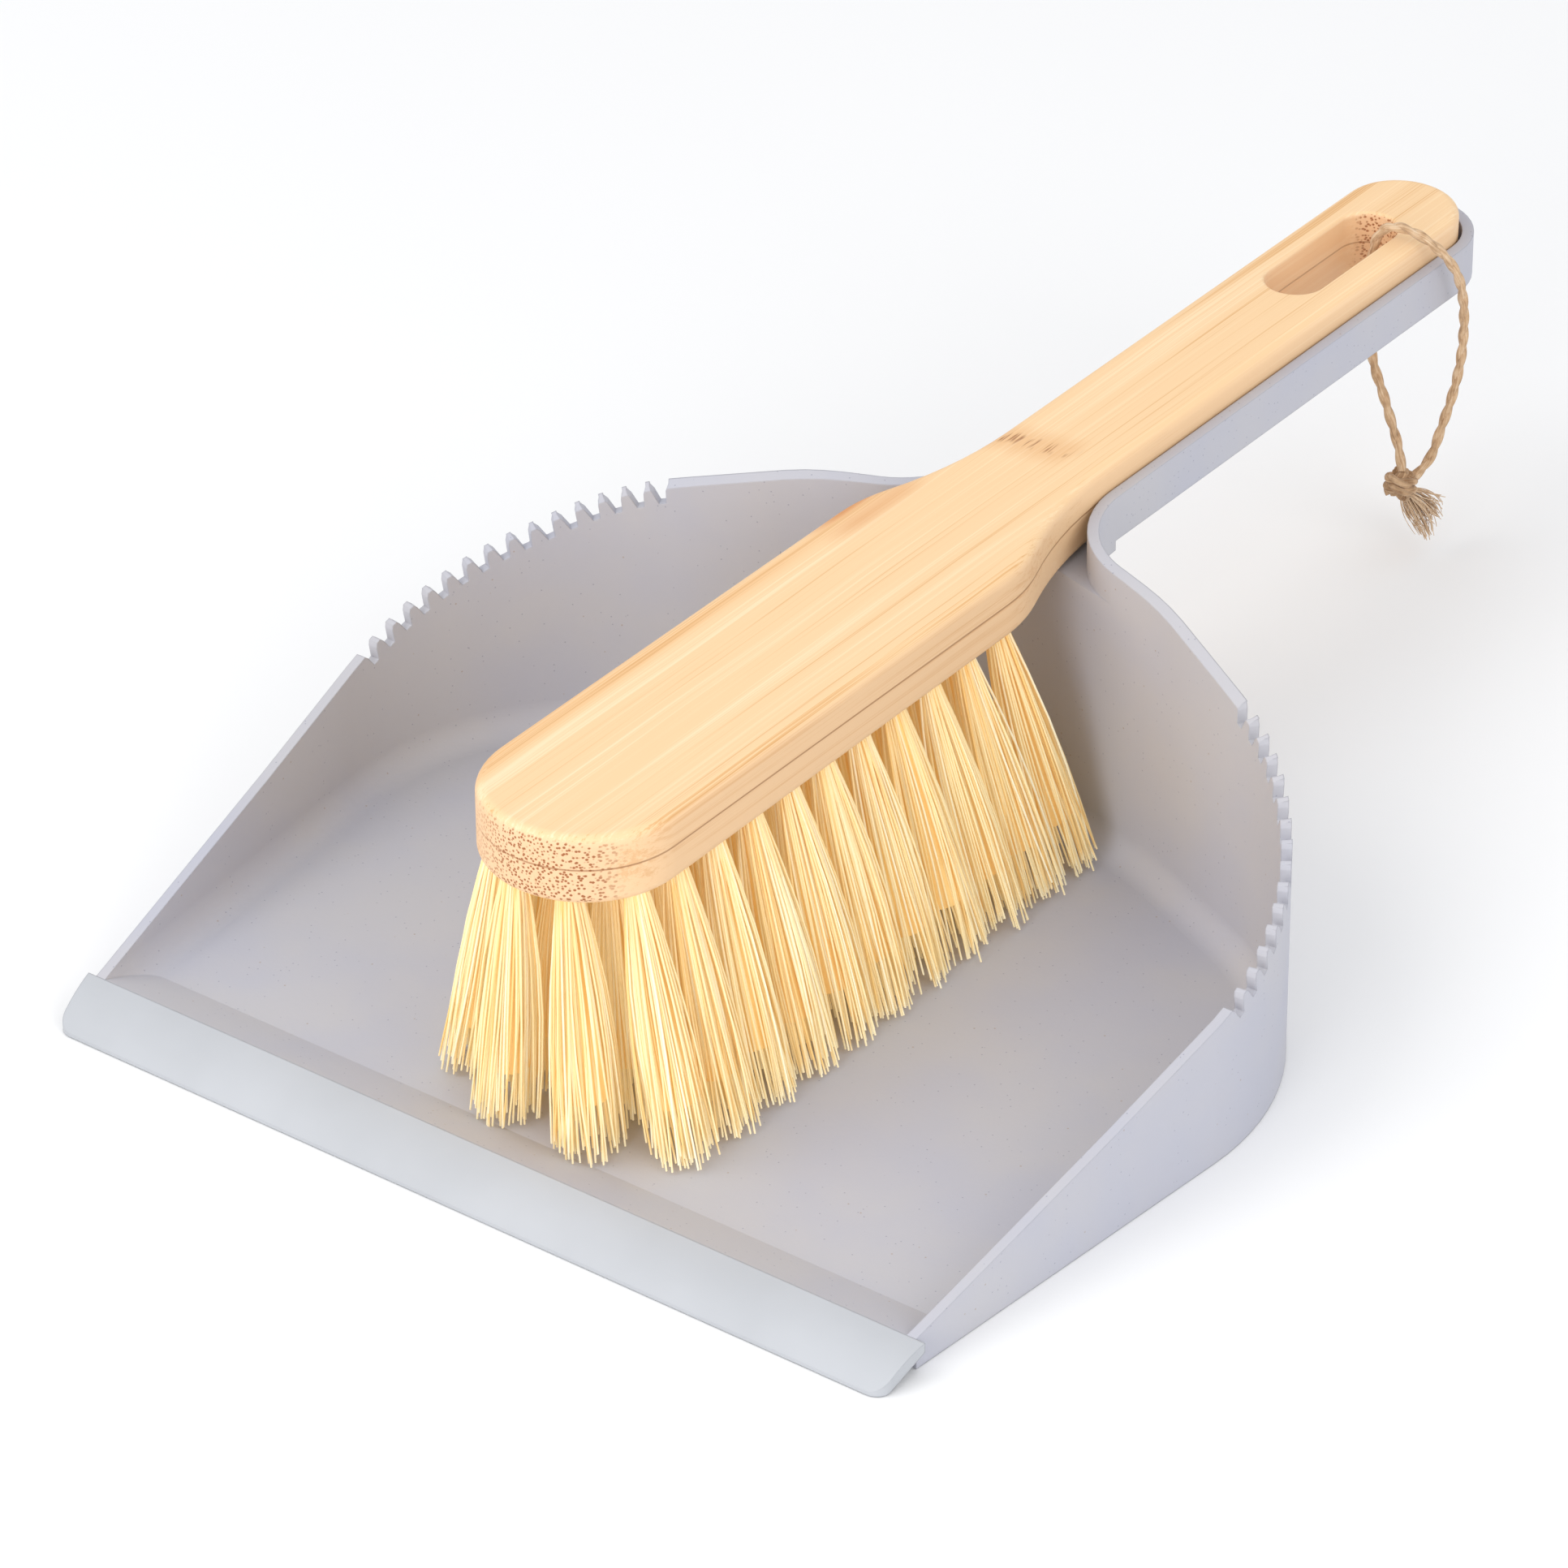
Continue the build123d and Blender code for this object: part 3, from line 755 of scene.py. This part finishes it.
def fibre_tree(packed=False):
    """Fibres from each point to its "tip", spread over a disc at both ends."""
    tree = Shape(
        "spread_fibres",
        [
            ("Fibres", "Int", 64),
            ("Thickness", "Float", 0.0005),
            ("Root Radius", "Float", 0.002),
            ("Tip Radius", "Float", 0.006),
            ("Hollow", "Float", 0.0),
            ("Core", "Float", 0.0),
            ("Uneven", "Float", 0.003),
            ("Stray", "Float", 0.0015),
            ("Bow", "Float", 0.001),
            ("Points", "Int", 6),
            ("Sides", "Int", 5),
            ("Seed", "Int", 1),
            ("Material", "Material", None),
        ],
    )
    given = tree.given
    seed = given["Seed"]
    roots = tree.node("GeometryNodeMeshToPoints", named={"Mesh": given["Geometry"]})[0]
    many = tree.node(
        "GeometryNodeDuplicateElements",
        domain="POINT",
        named={"Geometry": roots, "Amount": given["Fibres"]},
    )[0]
    item = tree.node("GeometryNodeInputIndex")[0]
    angle = tree.chance(0, tau, item, seed)
    reach = tree.chance(given["Hollow"], 1, item, seed + 1) ** 0.5
    disc = tree.vector(angle.cosine() * reach, angle.sine() * reach, 0)
    many = tree.store(many, "disc", disc, "FLOAT_VECTOR")
    position = tree.node("GeometryNodeInputPosition")[0]
    root = tree.vector_math("ADD", position, tree.scaled(disc, given["Root Radius"]))
    many = tree.store(many, "root", root, "FLOAT_VECTOR")
    wander = [tree.chance(-1, 1, item, seed + 2 + k) * given["Stray"] for k in range(2)]
    short = (tree.chance(0, 1, item, seed + 4) ** SHORT_BIAS) * given["Uneven"]
    spread = tree.scaled(disc, given["Tip Radius"])
    tip = tree.vector_math("ADD", tree.named("tip", "FLOAT_VECTOR"), spread)
    tip = tree.vector_math("ADD", tip, tree.vector(wander[0], wander[1], short))
    many = tree.store(many, "tip", tip, "FLOAT_VECTOR")
    bend = [tree.chance(-1, 1, item, seed + 5 + k) * given["Bow"] for k in range(2)]
    many = tree.store(many, "bend", tree.vector(bend[0], bend[1], 0), "FLOAT_VECTOR")
    many = tree.store(many, "tint", tree.chance(0, 1, item, seed + 7))
    rod = tree.node("GeometryNodeCurvePrimitiveLine", (0, 0, 0), (0, 0, 1), mode="POINTS")[0]
    rod = tree.node("GeometryNodeResampleCurve", rod, named={"Count": given["Points"]}, mode="COUNT")[0]
    placed = tree.node("GeometryNodeInstanceOnPoints", named={"Points": many, "Instance": rod})[0]
    lines = tree.node("GeometryNodeRealizeInstances", named={"Geometry": placed})[0]
    along = tree.node("GeometryNodeSplineParameter")["Factor"]
    straight = tree.blend(along, tree.named("root", "FLOAT_VECTOR"), tree.named("tip", "FLOAT_VECTOR"))
    middle = (along * pi).sine()
    belly = tree.scaled(tree.named("bend", "FLOAT_VECTOR"), middle)
    flare = tree.scaled(tree.named("disc", "FLOAT_VECTOR"), middle * given["Bow"] * FLARE)
    shaped = tree.vector_math("ADD", tree.vector_math("ADD", straight, belly), flare)
    lines = tree.node("GeometryNodeSetPosition", named={"Geometry": lines, "Position": shaped})[0]
    lines = tree.store(lines, "along", along)
    profile = tree.circle(given["Sides"], given["Thickness"] / 2)
    pieces = [tree.tube(lines, profile, 1.0 - FIBRE_TAPER * along)]
    if packed:
        pieces.append(core(tree, roots, rod))
    tree.end(tree.joined(pieces), given["Material"])
    return tree


def core(tree, roots, rod):
    """A tapered rod for the packed fibres deep inside each tuft, seen only between the outer ones."""
    given = tree.given
    stem = tree.node("GeometryNodeInstanceOnPoints", named={"Points": roots, "Instance": rod})[0]
    stem = tree.node("GeometryNodeRealizeInstances", named={"Geometry": stem})[0]
    part = tree.node("GeometryNodeSplineParameter")["Factor"] * CORE_LENGTH
    centre = tree.blend(part, tree.named("foot", "FLOAT_VECTOR"), tree.named("tip", "FLOAT_VECTOR"))
    stem = tree.node("GeometryNodeSetPosition", named={"Geometry": stem, "Position": centre})[0]
    stem = tree.store(stem, "along", part)
    # painted shade: the core takes tint 0, the darkest honey colour, for the shaded depth between the
    # outer fibres
    stem = tree.store(stem, "tint", 0.0)
    girth = given["Root Radius"] + (given["Tip Radius"] - given["Root Radius"]) * part
    return tree.tube(stem, tree.circle(CORE_SIDES, 1.0), girth * given["Core"])


def rooted_points(name, roots, tips):
    """Loose points that carry the place of their tips."""
    mesh = dots(name, roots)
    attribute = mesh.attributes.new("tip", "FLOAT_VECTOR", "POINT")
    for item, tip in zip(attribute.data, tips):
        item.vector = tip
    attribute = mesh.attributes.new("foot", "FLOAT_VECTOR", "POINT")
    for item, root in zip(attribute.data, roots):
        item.vector = root
    return mesh


class DUSTPAN_OT_cord(Operator):
    """Both legs of the jute cord, laid from two strands"""

    bl_idname = "dustpan.cord"
    bl_label = "Cord Legs"

    def execute(self, context):
        settings = context.scene.dustpan_cord
        jute = jute_finish(settings)
        tree = strand_tree()
        for name, route in (("cord_outer_leg", OUTER_ROUTE), ("cord_inner_leg", INNER_ROUTE)):
            path = smooth_line(f"{name}_route", route)
            strand = settings.diameter * STRAND_SHARE
            leg = tree.make(
                f"jute_{name}",
                line_mesh(f"{name}_line", [path]),
                strand_radius=strand,
                offset=settings.diameter / 2 - strand,
                lay=settings.lay_length,
                material=jute,
            )
            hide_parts(name)
            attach(leg, "brush")
        return {"FINISHED"}


class DUSTPAN_OT_knot(Operator):
    """The knot that closes the cord's loop"""

    bl_idname = "dustpan.knot"
    bl_label = "Knot"

    def execute(self, context):
        settings = context.scene.dustpan_cord
        low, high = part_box("cord_knot")
        centre = (Vector(low) + Vector(high)) / 2
        radius = (high[0] - low[0]) / 2
        strand = settings.diameter * STRAND_SHARE
        reach = radius - settings.diameter * 0.52
        axis = Vector((0.10, 0.35, 0.93)).normalized()
        side = axis.cross(Vector((0, 0, 1))).normalized()
        other = axis.cross(side)

        def winding(steps, start, turns, rise, waist, belly):
            """A run round the knot's axis, from its waist out to its belly and back."""
            points = []
            for step in range(steps + 1):
                share = step / steps
                turn = start + tau * turns * share
                girth = reach * (waist + belly * sin(pi * share))
                outward = side * cos(turn) * girth + other * sin(turn) * girth
                points.append(centre + outward + axis * (share - 0.5) * reach * rise)
            return points

        wraps = winding(90, 0.0, 2.6, 1.7, 0.62, 0.38)
        crossing = winding(40, 0.6, 0.55, -1.9, 0.55, 0.55)
        middle = [centre + axis * reach * (0.9 - 1.8 * step / 12) for step in range(13)]
        knot = strand_tree().make(
            "jute_knot",
            line_mesh("knot_lines", [wraps, crossing, middle], [1.0, 1.0, KNOT_CORE_GIRTH]),
            strand_radius=strand,
            offset=settings.diameter / 2 - strand,
            lay=settings.lay_length * 0.8,
            material=jute_finish(settings, "knotted_jute", -0.08),
        )
        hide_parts("cord_knot")
        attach(knot, "brush")
        return {"FINISHED"}


class DUSTPAN_OT_frayed_ends(Operator):
    """Loose fibres below the knot"""

    bl_idname = "dustpan.frayed_ends"
    bl_label = "Frayed Ends"

    def execute(self, context):
        settings = context.scene.dustpan_cord
        jute = jute_finish(settings, "frayed_jute", 0.06)
        tree = fibre_tree()
        low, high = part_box("cord_knot")
        knot = (Vector(low) + Vector(high)) / 2
        for name, tip in (("cord_tail_a", (17.6, 155.8, 4.4)), ("cord_tail_b", (16.8, 160.5, 7.4))):
            end = Vector(tip) * MM
            start = knot + (end - knot).normalized() * (high[0] - low[0]) * 0.36
            tail = tree.make(
                f"frayed_{name}",
                rooted_points(f"{name}_root", [start], [end]),
                fibres=70,
                thickness=0.00024,
                root_radius=0.00115,
                tip_radius=0.0021,
                uneven=0.0065,
                stray=0.0007,
                bow=0.0011,
                points=9,
                sides=4,
                seed=21 if name.endswith("a") else 57,
                material=jute,
            )
            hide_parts(name)
            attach(tail, "brush")
        return {"FINISHED"}


# ---- pan and wood --------------------------------------------------------------------------------


class DUSTPAN_OT_pan(Operator):
    """Flecked plastic on the pan and smooth rubber on its lip"""

    bl_idname = "dustpan.pan"
    bl_label = "Pan and Lip"

    def execute(self, context):
        settings = context.scene.dustpan_pan
        paint("dustpan", plastic_finish(settings))
        paint("soft_lip", lip_finish(settings))
        return {"FINISHED"}


class DUSTPAN_OT_boards(Operator):
    """Bamboo on both boards of the brush"""

    bl_idname = "dustpan.boards"
    bl_label = "Bamboo Boards"

    def execute(self, context):
        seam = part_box("upper_board")[0][2]
        bamboo = bamboo_finish(context.scene.dustpan_bamboo, seam)
        paint("upper_board", bamboo)
        paint("lower_board", bamboo)
        paint("tuft_anchors", wire_finish())
        return {"FINISHED"}


# ---- bristles ------------------------------------------------------------------------------------

HEAD_FRONT = 24.0
FRONT_PAIR = (7.0, HEAD_FRONT + 7.5)
OUTER_X, INNER_X = 17.5, 5.9
FIRST_RANK, RANK_PITCH, RANKS = HEAD_FRONT + 16.5, 12.6, 11
SPREAD_OUT, SPREAD_BACK = 1.62, 0.09


def both_sides(place):
    return [place, (-place[0], place[1])]


def rank_roots(rank):
    """Places of one rank's tufts: across, and back from the lip."""
    if rank == 0:
        return both_sides(FRONT_PAIR)
    at = FIRST_RANK + (rank - 1) * RANK_PITCH
    places = both_sides((OUTER_X, at))
    if rank < RANKS:
        places += both_sides((INNER_X, at + RANK_PITCH / 2))
    return places


class DUSTPAN_OT_bristles(Operator):
    """Fibres of every tuft, one piece for each rank"""

    bl_idname = "dustpan.bristles"
    bl_label = "Bristles"

    def execute(self, context):
        settings = context.scene.dustpan_bristles
        finish = bristle_finish(settings)
        tree = fibre_tree(packed=True)
        lip_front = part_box("soft_lip")[0][1]
        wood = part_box("lower_board")[0][2]
        for rank in range(RANKS + 1):
            node = "front_tufts" if rank == 0 else f"tuft_rank_{rank:02d}"
            tip_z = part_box(node)[0][2]
            roots, tips = [], []
            for across, at in rank_roots(rank):
                lean = SPREAD_BACK * (at - FRONT_PAIR[1])
                roots.append((across * MM, lip_front + at * MM, wood + 0.001))
                tips.append((across * SPREAD_OUT * MM, lip_front + (at + lean) * MM, tip_z))
            tufts = tree.make(
                f"bristles_{rank:02d}",
                rooted_points(f"{node}_roots", roots, tips),
                fibres=settings.fibres,
                thickness=settings.thickness,
                root_radius=settings.root_radius,
                tip_radius=settings.tip_radius,
                hollow=0.35,
                core=0.8,
                uneven=settings.uneven,
                stray=settings.stray,
                bow=0.0011,
                points=6,
                sides=5,
                seed=100 + 10 * rank,
                material=finish,
            )
            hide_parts(node)
            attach(tufts, "brush")
        return {"FINISHED"}


# ---- panel ---------------------------------------------------------------------------------------


class DUSTPAN_PT_pieces(Panel):
    """Builds each group of pieces"""

    bl_idname = "DUSTPAN_PT_pieces"
    bl_label = "Dustpan and Brush"
    bl_space_type = "VIEW_3D"
    bl_region_type = "UI"
    bl_category = "Dustpan"

    def draw(self, context):
        for operator, settings in STEPS:
            self.layout.operator(operator.bl_idname)
            group = getattr(context.scene, settings)
            box = self.layout.box()
            for name in group.bl_rna.properties.keys():
                if name not in ("rna_type", "name"):
                    box.prop(group, name)


STEPS = [
    (DUSTPAN_OT_stage, "dustpan_stage"),
    (DUSTPAN_OT_cord, "dustpan_cord"),
    (DUSTPAN_OT_knot, "dustpan_cord"),
    (DUSTPAN_OT_frayed_ends, "dustpan_cord"),
    (DUSTPAN_OT_pan, "dustpan_pan"),
    (DUSTPAN_OT_boards, "dustpan_bamboo"),
    (DUSTPAN_OT_bristles, "dustpan_bristles"),
]
GROUPS = {
    "dustpan_stage": StageSettings,
    "dustpan_pan": PanSettings,
    "dustpan_bamboo": BambooSettings,
    "dustpan_bristles": BristleSettings,
    "dustpan_cord": CordSettings,
}
CLASSES = [*GROUPS.values(), *[operator for operator, _ in STEPS], DUSTPAN_PT_pieces]


def register():
    for item in CLASSES:
        bpy.utils.register_class(item)
    for name, group in GROUPS.items():
        setattr(bpy.types.Scene, name, PointerProperty(type=group))


def unregister():
    for name in GROUPS:
        delattr(bpy.types.Scene, name)
    for item in reversed(CLASSES):
        bpy.utils.unregister_class(item)


def main():
    register()
    for operator, _ in STEPS:
        group, action = operator.bl_idname.split(".")
        getattr(getattr(bpy.ops, group), action)()


if __name__ == "__main__":
    main()
